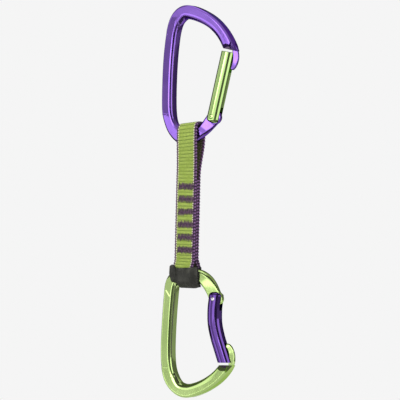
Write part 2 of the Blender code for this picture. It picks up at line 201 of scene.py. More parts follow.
world = bpy.data.worlds.new("studio")
scene.world = world
world.use_nodes = True
sky = Wire(world.node_tree, None)
path_node = world.node_tree.nodes.new("ShaderNodeLightPath")
seen = [Wire(world.node_tree, path_node.outputs[key])
        for key in ("Is Camera Ray", "Is Glossy Ray", "Is Transmission Ray")]
shown = sky.math("MINIMUM", seen[0] + seen[1] + seen[2], 1.0)
tint = sky.mix(shown, AMBIENT, BACKGROUND)
backdrop = world.node_tree.nodes["Background"]
world.node_tree.links.new(tint.socket, backdrop.inputs["Color"])
backdrop.inputs["Strength"].default_value = 1.0


def soft_box(name, azimuth, elevation, distance, width, height, watts):
    """A rectangular lamp that faces the quickdraw from a direction round it."""
    data = bpy.data.lights.new(name, "AREA")
    data.shape = "RECTANGLE"
    data.size, data.size_y, data.energy = width, height, watts
    lamp = bpy.data.objects.new(name, data)
    scene.collection.objects.link(lamp)
    lamp.visible_glossy = False
    face_object(lamp, azimuth, elevation, distance)


def face_object(obj, azimuth, elevation, distance):
    """Puts obj at a distance from the quickdraw's middle and turns its -Z to it."""
    turn, lift = math.radians(azimuth), math.radians(elevation)
    away = Vector((math.sin(turn) * math.cos(lift), -math.cos(turn) * math.cos(lift), math.sin(lift)))
    obj.location = AIM + away * distance
    obj.rotation_mode = "QUATERNION"
    obj.rotation_quaternion = (-away).to_track_quat("-Z", "Y")


# azimuth and elevation in degrees, distance, width and height in metres, watts
SOFT_BOXES = {
    "key": (-25.0, 35.0, 0.9, 0.5, 0.7, 5.5),
    "fill": (75.0, 20.0, 1.2, 0.25, 0.9, 3.0),
    "rim": (170.0, 30.0, 1.0, 0.5, 0.5, 3.0),
}
for name, spec in SOFT_BOXES.items():
    soft_box(name, *spec)

RING_RADIUS, SECTOR_STEPS = 2.0, 12
# a band's lower and upper height in metres: first and last azimuth in degrees, and light, of each card
RING = {
    (0.9, 1.9): [(-40, 40, 1.5), (40, 320, 0.5)],
    (0.32, 0.9): [(-150, -95, 0.15), (-95, -70, 1.0), (-70, -20, 1.5), (-20, 30, 4.2), (30, 62, 0.14),
                  (62, 98, 0.8), (98, 210, 0.18)],
    (-0.127, 0.32): [(-150, -95, 0.15), (-95, -70, 1.0), (-70, -20, 0.75), (-20, 30, 4.2), (30, 62, 0.14),
                     (62, 98, 1.8), (98, 210, 0.18)],
    (-0.45, -0.127): [(-150, -95, 0.15), (-95, -66, 0.75), (-66, -53, 2.2), (-53, -14, 0.75),
                      (-14, 22, 2.2), (22, 62, 0.1), (62, 210, 0.42)],
    (-1.3, -0.45): [(-160, -60, 0.12), (-60, -14, 2.4), (-14, 22, 2.4), (22, 62, 0.14), (62, 98, 1.5),
                    (98, 200, 0.2)],
}


def reflection_card(name, verts, faces, light):
    """A card that gives an even light to reflections and is seen by nothing else."""
    mesh = bpy.data.meshes.new(name)
    mesh.from_pydata(verts.tolist(), [], faces)
    card = bpy.data.objects.new(name, mesh)
    scene.collection.objects.link(card)
    card.visible_camera = card.visible_diffuse = card.visible_shadow = card.visible_transmission = False
    mesh.materials.append(material(name, lambda wire: {}, Base_Color=(0, 0, 0, 1), Roughness=1.0,
                                   Emission_Color=(light, light, light, 1), Emission_Strength=1.0))


def sector(first, last, low, high, near=RING_RADIUS, far=RING_RADIUS):
    """Two rims round the object between two azimuths, and the quads between them."""
    turn = np.radians(np.linspace(first, last, SECTOR_STEPS + 1))
    way = np.stack([np.sin(turn), -np.cos(turn), 0 * turn], axis=1)
    here = np.arange(SECTOR_STEPS)
    above = here + SECTOR_STEPS + 1
    return (np.vstack([near * way + (0, 0, low), far * way + (0, 0, high)]),
            np.stack([here, here + 1, above + 1, above], axis=1).tolist())


for (low, high), arcs in RING.items():
    for first, last, light in arcs:
        reflection_card(f"card_{low:g}_{first}", *sector(first, last, low, high), light)
LOW_SHADE, DIM_LIGHT, FLOOR_SHADE, SOFT_LIGHT, TOP_LIGHT = 0.1, 0.3, 0.8, 1.4, 2.0
# first and last azimuth, heights and radii of the two rims in metres, light
CARDS = {
    "near_light": (64, 98, -0.165, 0.16, 0.6, 0.6, TOP_LIGHT),
    "near_soft": (-20, 30, -0.21, -0.08, 0.6, 0.6, SOFT_LIGHT),
    "low_sheet": (-175, 130, -0.14, -0.14, 0.03, 0.17, LOW_SHADE),
    "floor_sheet": (-180, 180, -0.37, -0.37, 0.0, 0.3, FLOOR_SHADE),
    "near_dim": (55, 110, -0.40, -0.27, 0.6, 0.6, DIM_LIGHT),
    "top_sheet": (-180, -30, 0.7, 0.7, 0.0, 0.4, TOP_LIGHT),
    "top_soft": (-30, 60, 0.7, 0.7, 0.0, 0.4, SOFT_LIGHT),
}
for name, (*spread, light) in CARDS.items():
    reflection_card(name, *sector(*spread), light)

FLOOR_DROP, FLOOR_RADIUS, FLOOR_SIDES = 0.12, 0.8, 96
turn = np.linspace(0, 2 * np.pi, FLOOR_SIDES, endpoint=False)
level_z = CAD_BOX[0][2] - FLOOR_DROP
rim_points = np.stack([np.cos(turn) * FLOOR_RADIUS, np.sin(turn) * FLOOR_RADIUS,
                       0 * turn + level_z], axis=1)
mesh = bpy.data.meshes.new("floor")
mesh.from_pydata(rim_points.tolist(), [], [list(range(len(turn)))])
floor = bpy.data.objects.new("floor", mesh)
scene.collection.objects.link(floor)
mesh.materials.append(material("floor", lambda wire: {}, Base_Color=BACKGROUND, Roughness=0.9))
print("floor at", round(level_z, 3), "m")

# %% [markdown]
# ## Surfaces from arrays
# Most of the metal is a profile carried along a path. The path is a smooth curve through a few
# stations, and all its points are worked out at once.


# %% Curves, grids and meshes
MERGE = 1e-6


def ease(t):
    """3t^2 - 2t^3, which goes from 0 to 1 and is level at both ends."""
    return t * t * (3 - 2 * t)


def smooth(points, steps):
    """Catmull-Rom curve: on each span, half of (2b + (c-a)t + (2a-5b+4c-d)t^2 + (3b-a-3c+d)t^3)."""
    points = np.asarray(points, float)
    padded = np.vstack([2 * points[0] - points[1], points, 2 * points[-1] - points[-2]])
    a, b, c, d = (padded[k:len(padded) - 3 + k, None, :] for k in range(4))
    t = np.linspace(0, 1, steps, endpoint=False)[None, :, None]
    curve = 0.5 * (2 * b + (c - a) * t + (2 * a - 5 * b + 4 * c - d) * t ** 2
                   + (3 * b - a - 3 * c + d) * t ** 3)
    return np.vstack([curve.reshape(-1, points.shape[1]), points[-1]])


def soften(curve, reach):
    """A running mean with a Hann window over 2 * reach + 1 points; the ends are carried on straight."""
    k = np.arange(reach, 0, -1)[:, None]
    before = curve[0] - k * (curve[1] - curve[0])
    after = curve[-1] + k[::-1] * (curve[-1] - curve[-2])
    padded = np.vstack([before, curve, after])
    window = np.hanning(2 * reach + 3)[1:-1]
    return np.stack([np.convolve(column, window / window.sum(), "valid") for column in padded.T], axis=1)


def unit(vectors):
    """Each row divided by its length."""
    return vectors / np.linalg.norm(vectors, axis=-1, keepdims=True)


def left_of(directions):
    """Each direction in the plane, turned a quarter to its left."""
    return np.stack([-directions[:, 1], directions[:, 0]], axis=1)


def stand(flat, through):
    """Points in space from (across, up) in the plane and the distance through it."""
    return np.stack([flat[..., 0], through, flat[..., 1]], axis=-1)


def round_about(sides):
    """Equal turns round a circle."""
    return np.linspace(0, 2 * np.pi, sides, endpoint=False)


def put(name, verts, faces, finish, body, node=None, slot=None, sharp=35.0, **fields):
    """An object in millimetres made of arrays, merged, turned outwards and shaded, then hung on its body
    if it has one. Each field is one number a point, for its material to read."""
    made = bpy.data.meshes.new(name)
    made.from_pydata((np.asarray(verts).reshape(-1, 3) * MM).tolist(), [], faces)
    for key, values in fields.items():
        made.attributes.new(key, "FLOAT", "POINT").data.foreach_set("value", np.ravel(values))
    work = bmesh.new()
    work.from_mesh(made)
    bmesh.ops.remove_doubles(work, verts=work.verts, dist=MERGE)
    bmesh.ops.dissolve_degenerate(work, edges=work.edges, dist=MERGE)
    bmesh.ops.recalc_face_normals(work, faces=work.faces)
    work.to_mesh(made)
    work.free()
    made.materials.append(finish)
    made.shade_smooth()
    made.set_sharp_from_angle(angle=math.radians(sharp))
    obj = bpy.data.objects.new(name, made)
    scene.collection.objects.link(obj)
    if body:
        dress(obj, body, node)
    return obj


def dress(obj, body, node):
    """Hangs a piece on its body, or bakes its place when it lies between two bodies, hides the solid it
    stands for and prints its faces.
    """
    if isinstance(body, dict):
        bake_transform(obj)
    else:
        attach(obj, body)
    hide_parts(node)
    print(obj.name, "on", list(body.values())[:2] if isinstance(body, dict) else body, "-",
          len(obj.data.polygons), "faces")


def grid_faces(rows, columns):
    """Quads of a grid of points, closed round its columns, with its first and last rows capped."""
    here = np.arange(rows * columns).reshape(rows, columns)
    after = np.roll(here, -1, axis=1)
    quads = np.stack([here[:-1], after[:-1], after[1:], here[1:]], axis=-1).reshape(-1, 4).tolist()
    return quads + [here[0, ::-1].tolist(), here[-1].tolist()]


def put_grid(name, grid, *rest, **fields):
    """A capped grid of points as an object."""
    return put(name, grid, grid_faces(*grid.shape[:2]), *rest, **fields)


def carve(obj, cutters, sharp=30.0):
    """Cuts every cutter out of obj, keeps the result as its mesh and removes the cutters."""
    for cutter in cutters:
        step = obj.modifiers.new("cut", "BOOLEAN")
        step.operation, step.solver, step.object = "DIFFERENCE", "EXACT", cutter
    bpy.context.view_layer.update()
    made = bpy.data.meshes.new_from_object(obj.evaluated_get(bpy.context.evaluated_depsgraph_get()))
    obj.modifiers.clear()
    obj.data = made
    for cutter in cutters:
        bpy.data.objects.remove(cutter, do_unlink=True)
    made.shade_smooth()
    made.set_sharp_from_angle(angle=math.radians(sharp))


def shoulder_axes(shoulder):
    """The shoulder's point and the directions square to it and along it."""
    x, z, tilt, _ = shoulder
    t = math.radians(tilt)
    return np.array((x, z)), np.array((-math.sin(t), math.cos(t))), np.array((math.cos(t), math.sin(t)))


# %% [markdown]
# ## The forged bars
# A carabiner's body is a bar bent into a long D. It could be a curve with a bevel, but its section
# changes all the way: flat on the faces, rounder inside, wider at the basket and thin at the hinge.
# So each station gives a place, a width and a thickness, and the section is worked out for all at once.

# %% The bar's section and sweep
# across, up, width and thickness in millimetres, from the hinge round to the nose
UPPER_BAR = [
    (19.2, -69.2, 10.4, 3.2), (16.0, -73.0, 9.8, 4.0), (12.8, -76.4, 8.4, 7.2), (6.6, -81.2, 7.9, 8.0),
    (0.0, -84.4, 9.0, 8.0), (-6.0, -83.9, 9.0, 8.0), (-12.2, -79.6, 8.4, 8.0), (-15.4, -73.6, 7.7, 8.3),
    (-16.9, -66.6, 7.5, 10.0), (-17.4, -58.0, 7.4, 10.0), (-17.5, -46.0, 7.4, 10.0),
    (-17.1, -29.0, 7.5, 10.0), (-15.7, -14.5, 7.4, 10.0), (-13.9, -4.6, 7.5, 10.0),
    (-9.8, 2.6, 8.5, 10.0), (-2.9, 5.0, 9.9, 10.0),
    (6.6, 2.2, 9.3, 10.0), (14.0, -1.2, 8.8, 10.0), (20.2, -5.7, 8.6, 10.0), (26.2, -12.3, 8.6, 10.0),
    (30.8, -20.4, 9.0, 10.0), (33.2, -26.4, 9.0, 10.0),
]
LOWER_BAR = [
    (24.0, -194.6, 10.0, 2.6), (20.4, -187.8, 9.6, 5.0), (15.8, -182.6, 9.2, 6.8), (9.4, -178.9, 7.8, 7.4),
    (1.0, -179.1, 7.4, 7.4), (-5.6, -179.9, 7.2, 7.4), (-9.9, -182.2, 7.2, 8.4), (-11.7, -187.4, 7.2, 9.6),
    (-12.3, -194.0, 7.1, 10.0), (-13.1, -206.0, 7.0, 10.0), (-13.7, -222.0, 7.0, 10.0),
    (-13.6, -238.0, 7.0, 10.0), (-11.6, -250.0, 7.4, 10.0), (-6.6, -257.0, 8.4, 10.0),
    (1.2, -260.9, 9.6, 10.0), (9.6, -259.4, 9.2, 10.0), (18.6, -255.4, 8.8, 10.0),
    (26.6, -250.0, 8.8, 10.0), (32.6, -243.6, 8.8, 10.0), (37.0, -236.0, 8.8, 10.0),
]
# the cut where the gate meets the nose: across, up, tilt in degrees, and which way round the bar runs
UPPER_SHOULDER = (31.3, -21.9, -11.0, -1.0)
LOWER_SHOULDER = (34.7, -241.2, 2.0, 1.0)
INNER_CORNER, INNER_SPARE = 3.0, 0.1
OUTER_OF_DEPTH, OUTER_OF_WIDTH, INNER_OF_WIDTH, INNER_OF_DEPTH, CHAMFER_SHARE = 0.6, 0.7, 0.8, 0.85, 0.6
CORNER_ROWS, FACE_ROWS, SLOPE_ROWS, ARC_ROWS, EDGE_ROW = 8, 7, 3, 12, 0.05
# station, chamfer's width, its tilt and the face's lean outwards in degrees, outer corner's radius
UPPER_SHAPE = [(0, 0.3, 20, 0, 1.0), (3, 0.3, 24, 14, 2.2), (6, 0.3, 24, 16, 2.2), (8.4, 0.3, 24, 0, 1.5),
               (13, 0.3, 24, 0, 1.5), (13.6, 0.9, 15, 2, 1.5), (14, 1.0, 15, 5, 1.6),
               (17, 1.2, 16, 5, 1.8), (21, 2.6, 16, 5, 1.8)]
LOWER_SHAPE = [(0, 0.3, 20, 0, 1.0), (3, 0.3, 24, 0, 2.2), (12, 0.3, 24, 0, 1.5), (14, 1.0, 16, 0, 1.6),
               (19, 2.0, 16, 0, 1.8)]
UPPER_PANEL, LOWER_PANEL = (-67.3, -9.0), (-245.5, -188.0)
UPPER_WIDER, LOWER_WIDER = 1.1, 1.7
PANEL_DEEP, PANEL_SLANT, PANEL_RAMP = 0.25, 1.2, 0.7
FACE_COLUMNS = 15
SPINE_SIDE, HALF_BAR, ARM_START = -8.0, 5.0, 2 / 3
WIDER_END, WIDER_RAMP, WIDER_SHIFT = -4.0, 6.0, 0.4
WEDGE_BACK, WEDGE_REACH, WEDGE_TOP = 3.0, 14.0, 16.0
# the end's facets: depth left at the shoulder, its rise per millimetre, and the span along the shoulder
FACETS = [(2.3, 0.71, (-14.0, 0.6)), (2.0, 0.42, (0.6, 14.0))]


def tight(count):
    """0 to 1 with close rows at both ends, which keep an edge crisp under smooth shading."""
    inner = np.linspace(EDGE_ROW, 1 - EDGE_ROW, count)
    return np.concatenate([[0], inner, [1]])


def section(width, thick, outer_corner, inner_corner, chamfer, tilt, lean):
    """Across and through of the bar's outline for each station, mirrored to the back: a round outer
    corner, a face that leans outwards, a tilted chamfer, and an arc that goes on from it."""
    half, deep, outer_corner, chamfer, tilt, lean = (
        np.reshape(v, (-1, 1)) for v in (width / 2, thick / 2, outer_corner, chamfer, tilt, lean))
    outer = np.minimum(outer_corner, np.minimum(OUTER_OF_DEPTH * deep, OUTER_OF_WIDTH * half))
    full = 1 - np.sin(tilt)
    room = (INNER_OF_DEPTH * deep - INNER_SPARE) * full
    inner = np.minimum(inner_corner, np.minimum(INNER_OF_WIDTH * half, room))
    chamfer = np.minimum(chamfer, CHAMFER_SHARE * (2 * half - outer - inner))
    start, end = half - outer, -half + inner + chamfer * np.cos(tilt)
    drop = np.tan(lean) * (start - end)
    q = np.linspace(0, np.pi / 2, CORNER_ROWS)[None]
    run, slope = tight(FACE_ROWS)[None], tight(SLOPE_ROWS)[None]
    r = tilt + (np.pi / 2 - tilt) * np.linspace(0, 1, ARC_ROWS)[None]
    wide = inner / full
    top = deep - chamfer * np.sin(tilt) - wide * np.cos(tilt)
    across = np.hstack([
        half - outer + outer * np.cos(q), (start + (end - start) * run)[:, 1:],
        (end - chamfer * np.cos(tilt) * slope)[:, 1:], (-half + wide * (1 - np.sin(r)))[:, 1:]])
    through = np.hstack([
        deep - drop - outer + outer * np.sin(q), (deep - drop * (1 - run))[:, 1:],
        (deep - chamfer * np.sin(tilt) * slope)[:, 1:], (top + wide * np.cos(r))[:, 1:]])
    return np.hstack([across, across[:, ::-1]]), np.hstack([-through, through[:, ::-1]])


def bar_grid(stations, shoulder, shape, panel, spine_wider, steps=24):
    """The sweep: place + outward * across in the plane, and through along Y, cut at the shoulder. The
    milled panel sinks the spine's face."""
    line = soften(smooth(stations, steps), steps)
    along = unit(np.gradient(line[:, :2], axis=0))
    way = shoulder[3]
    point, square, _ = shoulder_axes(shoulder)
    outward = -way * left_of(along)
    count = np.linspace(0, len(stations) - 1, len(line))
    number, *columns = np.array(shape, float).T
    chamfer, tilt, lean, outer_corner = (np.interp(count, number, column) for column in columns)
    spine = (line[:, 1] > panel[0]) & (line[:, 1] < panel[1]) & (line[:, 0] < SPINE_SIDE)
    wider = spine_wider * np.clip((WIDER_END - line[:, 0]) / WIDER_RAMP, 0, 1)
    across, through = section(line[:, 2] + wider, line[:, 3], outer_corner, INNER_CORNER, chamfer,
                              np.radians(tilt), np.radians(lean) * ~spine)
    across -= WIDER_SHIFT * wider[:, None]
    flat = line[:, None, :2] + outward[:, None, :] * across[..., None]
    edge = panel[1] - PANEL_SLANT * (line[:, 2:3] / 2 - across)
    under, over = edge - flat[..., 1], flat[..., 1] - panel[0]
    sunk = np.clip(under / PANEL_RAMP, 0, 1) * np.clip(over / PANEL_RAMP, 0, 1)
    column = np.arange(across.shape[1])
    on_face = np.minimum(column, column[::-1]) < FACE_COLUMNS
    through *= 1 - PANEL_DEEP / HALF_BAR * sunk * (flat[..., 0] < SPINE_SIDE) * on_face
    normal = way * square
    past = (flat - point) @ normal
    arm = int(len(line) * ARM_START)
    last = arm + int(np.argmax(past[arm:].max(axis=1) > 0))
    slide = past[last] / (along[last] @ normal)
    flat[last] -= slide[:, None] * along[last]
    flat, through = flat[:last + 1], through[:last + 1]
    return stand(flat, through)


def wedge(shoulder, floor_depth, slope, span, side):
    """A cutter: what stands out beyond a plane that rises from the shoulder, within a span along it."""
    point, square, flat_way = shoulder_axes(shoulder)
    before = np.array((-WEDGE_BACK, WEDGE_REACH, WEDGE_REACH, -WEDGE_BACK))
    depth = np.array((floor_depth - WEDGE_BACK * slope, floor_depth + WEDGE_REACH * slope,
                      WEDGE_TOP, WEDGE_TOP))
    flat = point + np.array(span)[:, None, None] * flat_way - shoulder[3] * before[None, :, None] * square
    grid = stand(flat, side * depth + 0 * flat[..., 0])
    return put_grid("cutter", grid, STEEL, None)


print("stations:", len(UPPER_BAR), "on the upper bar,", len(LOWER_BAR), "on the lower bar")

# %% [markdown]
# ## Anodised aluminium
# Anodising dyes the oxide skin of polished aluminium, so it is coloured metal: the colour tints every
# reflection. Faint rubbing marks and a slow change of tone keep it from looking like plastic.


# %% Metal finishes
def anodised(name, tone, deep_tone, roughness=0.1):
    """Coloured metal: a cloudy tone, and fine rubbed lines in the roughness."""
    def build(wire):
        place = wire.node("ShaderNodeTexCoord", out=3)
        cloud = wire.noise(place, 55.0, 3.0)
        drawn = wire.node("ShaderNodeMapping", Vector=place, Scale=(900.0, 900.0, 90.0))
        rubbed = wire.noise(drawn, 1.0, 2.0)
        base = wire.mix(cloud.step(0.35, 0.75), deep_tone, tone)
        rough = roughness + 0.05 * rubbed.step(0.45, 0.8)
        return {"Base_Color": base, "Roughness": rough}
    return material(name, build, Metallic=1.0, Specular_Tint=tone, Coat_Weight=0.2, Coat_Roughness=0.04)


PURPLE = anodised("purple_anodised", colour(126, 92, 180), colour(112, 80, 164))
GREEN = anodised("green_anodised", colour(190, 215, 140), colour(176, 203, 126))
GATE_GREEN = anodised("green_gate_anodised", colour(185, 215, 140), colour(172, 203, 126), 0.06)
GATE_PURPLE = anodised("purple_gate_anodised", colour(100, 70, 148), colour(90, 62, 136), 0.06)
STEEL = anodised("polished_steel", colour(205, 198, 208), colour(190, 184, 194), 0.15)

BODY_LOOKS = {"upper": (PURPLE, "purple_anodised"), "lower": (GREEN, "green_anodised")}
BARS = {
    "upper": (UPPER_BAR, UPPER_SHOULDER, UPPER_SHAPE, UPPER_PANEL, UPPER_WIDER),
    "lower": (LOWER_BAR, LOWER_SHOULDER, LOWER_SHAPE, LOWER_PANEL, LOWER_WIDER),
}
for label, (stations, shoulder, shape, panel, wider) in BARS.items():
    finish, slot = BODY_LOOKS[label]
    grid = bar_grid(stations, shoulder, shape, panel, wider)
    bar = put_grid(label + "_bar", grid, finish, None)
    carve(bar, [wedge(shoulder, *facet, side) for facet in FACETS for side in (-1, 1)])
    dress(bar, label + "_carabiner", label + "_body")

# %% [markdown]
# ## Nose keys and hinge tongues
# Each bar ends in two thin webs: a hooked key that the gate closes round, and a tongue that the gate
# turns on. They are flat forgings with softened edges, so the key is a narrow bar along its own path,
# and the tongue is an outline with its edge rolled over.

# %% Nose keys
WEB = 2.5
UPPER_KEY = [(33.6, -19.6, 3.0), (35.2, -23.0, 4.2), (35.7, -27.2, 4.6), (35.0, -31.2, 4.2),
             (33.5, -34.2, 3.4), (32.0, -35.8, 2.2)]
LOWER_KEY = [(36.8, -243.2, 2.6), (38.0, -239.2, 4.4), (38.1, -234.8, 4.6), (37.0, -230.6, 4.2),
             (35.0, -228.0, 3.6), (32.6, -227.4, 2.6)]
KEY_EDGE, KEY_CHAMFER, KEY_TILT = 0.7, 0.3, 0.3
TIP_RINGS, TIP_CLOSED, TIP_THIN = 7, 0.985, 0.35
# stations, which way round the key runs, and how fast it thins outwards at its root and its tip
KEYS = {"upper": (UPPER_KEY, -1, (0.18, 0.10)), "lower": (LOWER_KEY, 1, (-0.05, 0.25))}


def key_grid(stations, way, lean, steps=8):
    """A narrow bar that is thinner towards its outer edge, and whose last rings draw in to a round tip."""
    line = smooth(stations, steps)
    along = unit(np.gradient(line[:, :2], axis=0))
    outward = -way * left_of(along)
    left = np.arange(len(line) - 1, -1, -1)
    tip = np.sqrt(1 - np.clip(1 - left / TIP_RINGS, 0, TIP_CLOSED) ** 2)
    none = 0 * tip
    across, through = section(line[:, 2] * tip, WEB * (TIP_THIN + (1 - TIP_THIN) * tip), none + KEY_EDGE,
                              KEY_EDGE, none + KEY_CHAMFER, none + KEY_TILT, none)
    through *= 1 - np.linspace(*lean, len(line))[:, None] * across
    flat = line[:, None, :2] + outward[:, None, :] * across[..., None]
    return stand(flat, through)


for label, spec in KEYS.items():
    finish, slot = BODY_LOOKS[label]
    grid = key_grid(*spec)
    put_grid(label + "_nose_key", grid, finish, label + "_carabiner", label + "_body", slot)

# %% Hinge tongues
# across and up along the middle of each gate, from its pin
GATE_PATHS = {
    "upper": [(19.4, -68.6), (24.6, -45.6), (30.9, -18.2)],
    "lower": [(24.2, -195.4), (23.5, -203.0), (23.9, -212.6), (26.1, -221.4), (28.9, -229.0),
              (34.6, -243.8)],
}
# degrees round the pin from the gate's direction, and how far the tongue reaches there
TONGUE_REACH = [(-180, 5.4), (-90, 5.7), (-45, 5.3), (-10, 4.0), (60, 4.0), (100, 5.0), (180, 5.6)]
TONGUE_HALF, TONGUE_EDGE, TONGUE_TURN, EDGE_ROWS = 1.6, 0.35, 5.0, 4


def gate_axes(path):
    """A path's start, such as the pin, its direction there, and the one square to that, outwards."""
    pin = np.array(path[0])
    along = unit(np.array(path[1]) - pin)
    return pin, along, np.array((abs(along[1]), -along[0] * math.copysign(1, along[1])))


def tongue_outline(path):
    """A disc round the pin whose reach changes with the direction, so that it clears the gate's slit."""
    pin, along, outward = gate_axes(path)
    degrees = np.arange(-180, 180, TONGUE_TURN)
    reach = np.interp(degrees, *np.array(TONGUE_REACH, float).T)
    turn = np.radians(degrees)[:, None]
    return pin + reach[:, None] * (np.cos(turn) * along - np.sin(turn) * outward)


def plate_grid(outline, half, edge):
    """Rings of an outline: drawn in at both faces and full between them."""
    tangent = unit(np.roll(outline, -1, axis=0) - np.roll(outline, 1, axis=0))
    inward = left_of(tangent)
    inward *= np.sign(np.sum((outline.mean(axis=0) - outline) * inward))
    q = np.linspace(0, np.pi / 2, EDGE_ROWS)
    draw = np.concatenate([edge * (1 - np.sin(q)), edge * (1 - np.cos(q))])
    depth = np.concatenate([-half + edge * (1 - np.cos(q)), half - edge * (1 - np.sin(q))])
    flat = outline[None] + inward[None] * draw[:, None, None]
    through = np.repeat(depth[:, None], len(outline), axis=1)
    return stand(flat, through)


for label, path in GATE_PATHS.items():
    finish, slot = BODY_LOOKS[label]
    grid = plate_grid(tongue_outline(path), TONGUE_HALF, TONGUE_EDGE)
    put_grid(label + "_hinge_tongue", grid, finish, label + "_carabiner", label + "_body", slot)

# %% [markdown]
# ## Gates
# A gate is a round aluminium rod: forked and rounded where it turns on its rivet, slotted on its outer
# side where it closes round the key, and cut to the body's shoulder. The rod is a circle carried along
# the gate's path, and the slots are cut out of it.

# %% The rods and their cuts
FORK_END, SLIT, END_GAP = 7.6, 4.0, 1.9
PIN_ROOM, PIN_CUT = 1.6, 9.0
CUT_WIDE, CUT_DEEP, CUT_LONG, SLOT_PAST = 24, 18, 10, 4
TAIL_LONG, TAIL_JOIN, TAIL_RINGS, TAIL_CLOSED = 2.4, 2.5, 12, 0.9999
BORE_RADIUS, BORE_START, BORE_ENDS = 1.9, 5.0, {"upper": 26.0, "lower": 18.6}
# radius, reach behind the pin, shoulder, slot's floor from the middle line and start from the pin, looks
GATES = {
    "upper": (5.0, 4.6, UPPER_SHOULDER, 1.4, 32.6, GATE_GREEN, "green_gate"),
    "lower": (5.15, 4.9, LOWER_SHOULDER, 1.2, 32.2, GATE_PURPLE, "purple_gate"),
}


def rod_grid(path, radius, tail, steps=14, sides=56):
    """A circle along the path; at the tail its radius follows a quarter ellipse down to a point."""
    pin, along, _ = gate_axes(path)
    line = smooth(np.vstack([pin - tail * along, path]), steps)
    gone = np.concatenate([[0], np.cumsum(np.linalg.norm(np.diff(line, axis=0), axis=1))])
    lead = np.linspace(0, 1, TAIL_RINGS, endpoint=False) ** 2 * TAIL_LONG
    line = np.vstack([line[0] + lead[:, None] * along, line[gone > TAIL_JOIN]])
    gone = np.concatenate([lead, gone[gone > TAIL_JOIN]])
    size = radius * np.sqrt(1 - np.clip(1 - gone / TAIL_LONG, 0, TAIL_CLOSED) ** 2)
    forward = unit(np.gradient(line, axis=0))
    outward = left_of(forward)
    turn = round_about(sides)
    flat = line[:, None] + outward[:, None] * (size[:, None] * np.cos(turn))[..., None]
    return stand(flat, size[:, None] * np.sin(turn))


def block(centre, along, across, sizes):
    """A cutter: a box by its centre in the plane, its two directions there, and its three sizes."""
    signs = np.array([(i, j, k) for i in (-1, 1) for j in (-1, 1) for k in (-1, 1)]) / 2
    flat = centre + signs[:, :1] * sizes[0] * across + signs[:, 2:] * sizes[2] * along
    verts = np.stack([flat[:, 0], signs[:, 1] * sizes[1], flat[:, 1]], axis=1)
    faces = [(0, 1, 3, 2), (4, 6, 7, 5), (0, 4, 5, 1), (2, 3, 7, 6), (0, 2, 6, 4), (1, 5, 7, 3)]
    return put("cutter", verts, faces, STEEL, None)


def drum(centre, radius, half, sides=32):
    """A cutter: a cylinder along Y."""
    turn = round_about(sides)
    ring = np.stack([centre[0] + radius * np.cos(turn), 0 * turn,
                     centre[1] + radius * np.sin(turn)], axis=1)
    grid = ring[None] + np.array([(0, -half, 0), (0, half, 0)])[:, None]
    return put_grid("cutter", grid, STEEL, None)


def bore(path, end, sides=24):
    """A cutter: the spring's hole, a cylinder along the gate from the fork."""
    pin, along, outward = (np.array((v[0], 0, v[1])) for v in gate_axes(path))
    turn = round_about(sides)[:, None]
    ring = pin + BORE_RADIUS * (np.cos(turn) * outward + np.sin(turn) * np.array((0, 1, 0)))
    grid = ring[None] + np.array((BORE_START, end))[:, None, None] * along
    return put_grid("cutter", grid, STEEL, None)


for label, (radius, tail, shoulder, slot_floor, slot_start, finish, slot) in GATES.items():
    path = GATE_PATHS[label]
    pin, along, outward = gate_axes(path)
    tip = np.array(path[-1])
    _, toward, side = gate_axes(path[-2:])
    length = np.linalg.norm(tip - pin) - slot_start + SLOT_PAST
    point, square, flat_way = shoulder_axes(shoulder)
    body_side = math.copysign(1, tip[1] - pin[1])
    grid = rod_grid(path, radius, tail)
    gate = put_grid(label + "_gate_rod", grid, finish, None)
    carve(gate, [
        block(pin + (FORK_END - CUT_LONG) / 2 * along, along, outward,
              (CUT_WIDE, SLIT, FORK_END + CUT_LONG)),
        block(tip + (SLOT_PAST - length / 2) * toward + (slot_floor + CUT_LONG / 2) * side, toward, side,
              (CUT_LONG, SLIT, length)),
        block(point + body_side * (CUT_LONG / 2 - END_GAP) * square, square, flat_way,
              (CUT_WIDE, CUT_DEEP, CUT_LONG)),
        drum(pin, PIN_ROOM, PIN_CUT),
        bore(path, BORE_ENDS[label]),
    ])
    dress(gate, label + "_gate", label + "_gate")

# %% [markdown]
# ## Rivets
# The gate turns on a rivet whose ends are peened into low domes. It is turned work, so it is a profile
# spun round the pin's axis. The lower one is bare steel, and the upper one has its gate's green finish.

# %% Turned rivets
RIVET, HEAD = 1.3, 1.6
DOME_TALL, DOME_SEAT, DOME_TIP, DOME_ROWS = 0.5, 0.45, 0.002, 7
# half the rivet's length, and its finish
RIVETS = {"upper": (4.9, GATE_GREEN), "lower": (5.1, STEEL)}


def rivet_grid(pin, reach, sides=40):
    """A shank between two domes: (radius, distance) pairs, mirrored, spun round Y."""
    dome = np.linspace(0, np.pi / 2, DOME_ROWS)
    radius = np.concatenate([HEAD * np.sin(dome) + DOME_TIP, [RIVET]])
    along = np.concatenate([reach - DOME_SEAT + DOME_TALL * np.cos(dome), [reach - DOME_TALL]])
    radius = np.concatenate([radius, radius[::-1]])
    along = np.concatenate([-along, along[::-1]])
    turn = round_about(sides)
    return np.stack([pin[0] + radius[:, None] * np.cos(turn), along[:, None] + 0 * turn,
                     pin[1] + radius[:, None] * np.sin(turn)], axis=-1)


for label, (reach, finish) in RIVETS.items():
    grid = rivet_grid(GATE_PATHS[label][0], reach)
    put_grid(label + "_rivet", grid, finish, label + "_carabiner", label + "_gate_pin", "rivet_steel")
    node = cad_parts[label + "_gate_plunger"]
    node.data.materials.clear()
    node.data.materials.append(STEEL)
